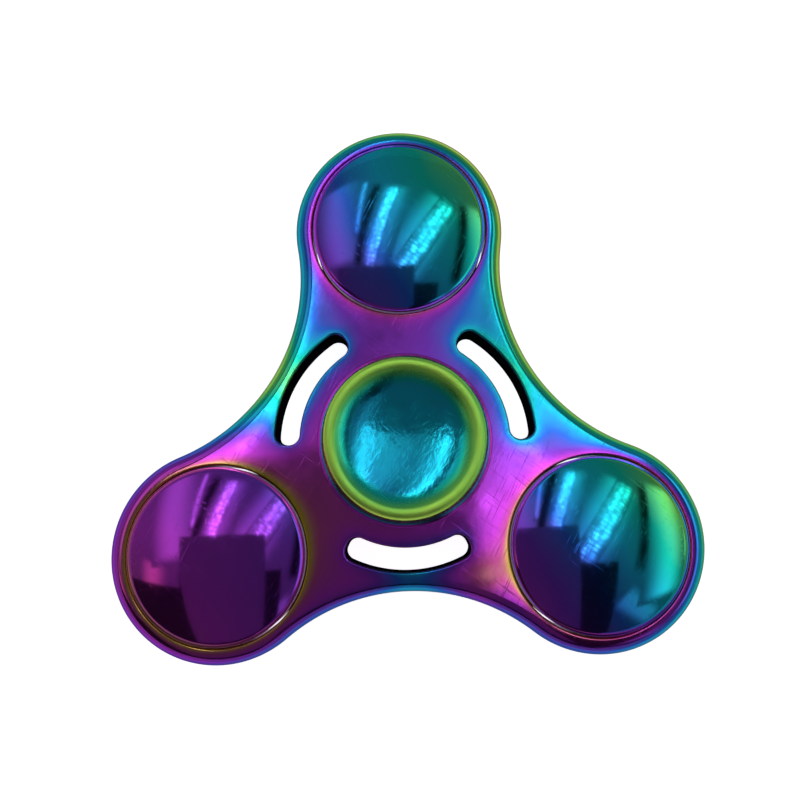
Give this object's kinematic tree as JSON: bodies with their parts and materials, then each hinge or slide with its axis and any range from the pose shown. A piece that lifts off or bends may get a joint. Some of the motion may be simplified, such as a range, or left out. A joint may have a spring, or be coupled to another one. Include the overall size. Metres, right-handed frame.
{
  "type": "fidget spinner",
  "caption": "Hand spinner with round lobes on a slotted metal body, domed lobe covers and dished finger caps on a central ball bearing.",
  "frame": {"origin": "centre of the bearing, on the spin axis, half way through the body's thickness", "axes": "+Z along the spin axis towards the front finger cap; +Y towards the centre of the top lobe"},
  "size_m": [0.0596, 0.0544, 0.013],
  "materials": {
    "violet_coating": "polished rainbow coating, mostly violet",
    "blue_coating": "polished rainbow coating, mostly blue",
    "teal_coating": "polished rainbow coating, mostly teal",
    "bearing_steel": "ground and polished steel",
    "cage_steel": "stamped steel",
    "weight_steel": "turned steel"
  },
  "bodies": {
    "hub": {"finger_cap_front": "teal_coating", "finger_cap_rear": "teal_coating", "bearing_inner_ring": "bearing_steel"},
    "rotor": {"body_frame": "violet_coating", "bearing_outer_ring": "bearing_steel", "bearing_shield_front": "bearing_steel", "bearing_shield_rear": "bearing_steel", "shield_snap_ring_front": "bearing_steel", "shield_snap_ring_rear": "bearing_steel", "dome_top_front": "blue_coating", "dome_top_rear": "blue_coating", "weight_top": "weight_steel", "dome_lower_left_front": "blue_coating", "dome_lower_left_rear": "blue_coating", "weight_lower_left": "weight_steel", "dome_lower_right_front": "blue_coating", "dome_lower_right_rear": "blue_coating", "weight_lower_right": "weight_steel"},
    "cage": {"bearing_cage": "cage_steel"},
    "ball_01": {"bearing_ball_01": "bearing_steel"},
    "ball_02": {"bearing_ball_02": "bearing_steel"},
    "ball_03": {"bearing_ball_03": "bearing_steel"},
    "ball_04": {"bearing_ball_04": "bearing_steel"},
    "ball_05": {"bearing_ball_05": "bearing_steel"},
    "ball_06": {"bearing_ball_06": "bearing_steel"},
    "ball_07": {"bearing_ball_07": "bearing_steel"},
    "ball_08": {"bearing_ball_08": "bearing_steel"},
    "ball_09": {"bearing_ball_09": "bearing_steel"},
    "ball_10": {"bearing_ball_10": "bearing_steel"}
  },
  "joints": [
    {"name": "spin", "type": "hinge", "parent": "hub", "child": "rotor", "pos_m": [0, 0, 0], "axis": [0, 0, 1], "continuous": true},
    {"name": "cage_orbit", "type": "hinge", "parent": "hub", "child": "cage", "pos_m": [0, 0, 0], "axis": [0, 0, 1], "continuous": true},
    {"name": "ball_roll_01", "type": "hinge", "parent": "cage", "child": "ball_01", "pos_m": [0.00476, 0, 0], "axis": [0, 0, 1], "continuous": true},
    {"name": "ball_roll_02", "type": "hinge", "parent": "cage", "child": "ball_02", "pos_m": [0.00385, 0.0028, 0], "axis": [0, 0, 1], "continuous": true},
    {"name": "ball_roll_03", "type": "hinge", "parent": "cage", "child": "ball_03", "pos_m": [0.00147, 0.00453, 0], "axis": [0, 0, 1], "continuous": true},
    {"name": "ball_roll_04", "type": "hinge", "parent": "cage", "child": "ball_04", "pos_m": [-0.00147, 0.00453, 0], "axis": [0, 0, 1], "continuous": true},
    {"name": "ball_roll_05", "type": "hinge", "parent": "cage", "child": "ball_05", "pos_m": [-0.00385, 0.0028, 0], "axis": [0, 0, 1], "continuous": true},
    {"name": "ball_roll_06", "type": "hinge", "parent": "cage", "child": "ball_06", "pos_m": [-0.00476, 0, 0], "axis": [0, 0, 1], "continuous": true},
    {"name": "ball_roll_07", "type": "hinge", "parent": "cage", "child": "ball_07", "pos_m": [-0.00385, -0.0028, 0], "axis": [0, 0, 1], "continuous": true},
    {"name": "ball_roll_08", "type": "hinge", "parent": "cage", "child": "ball_08", "pos_m": [-0.00147, -0.00453, 0], "axis": [0, 0, 1], "continuous": true},
    {"name": "ball_roll_09", "type": "hinge", "parent": "cage", "child": "ball_09", "pos_m": [0.00147, -0.00453, 0], "axis": [0, 0, 1], "continuous": true},
    {"name": "ball_roll_10", "type": "hinge", "parent": "cage", "child": "ball_10", "pos_m": [0.00385, -0.0028, 0], "axis": [0, 0, 1], "continuous": true}
  ],
  "couplings": [
    {"joint": "cage_orbit", "follows": "spin", "ratio": 0.5834},
    {"joint": "ball_roll_01", "follows": "spin", "ratio": 2.9157},
    {"joint": "ball_roll_02", "follows": "spin", "ratio": 2.9157},
    {"joint": "ball_roll_03", "follows": "spin", "ratio": 2.9157},
    {"joint": "ball_roll_04", "follows": "spin", "ratio": 2.9157},
    {"joint": "ball_roll_05", "follows": "spin", "ratio": 2.9157},
    {"joint": "ball_roll_06", "follows": "spin", "ratio": 2.9157},
    {"joint": "ball_roll_07", "follows": "spin", "ratio": 2.9157},
    {"joint": "ball_roll_08", "follows": "spin", "ratio": 2.9157},
    {"joint": "ball_roll_09", "follows": "spin", "ratio": 2.9157},
    {"joint": "ball_roll_10", "follows": "spin", "ratio": 2.9157}
  ]
}
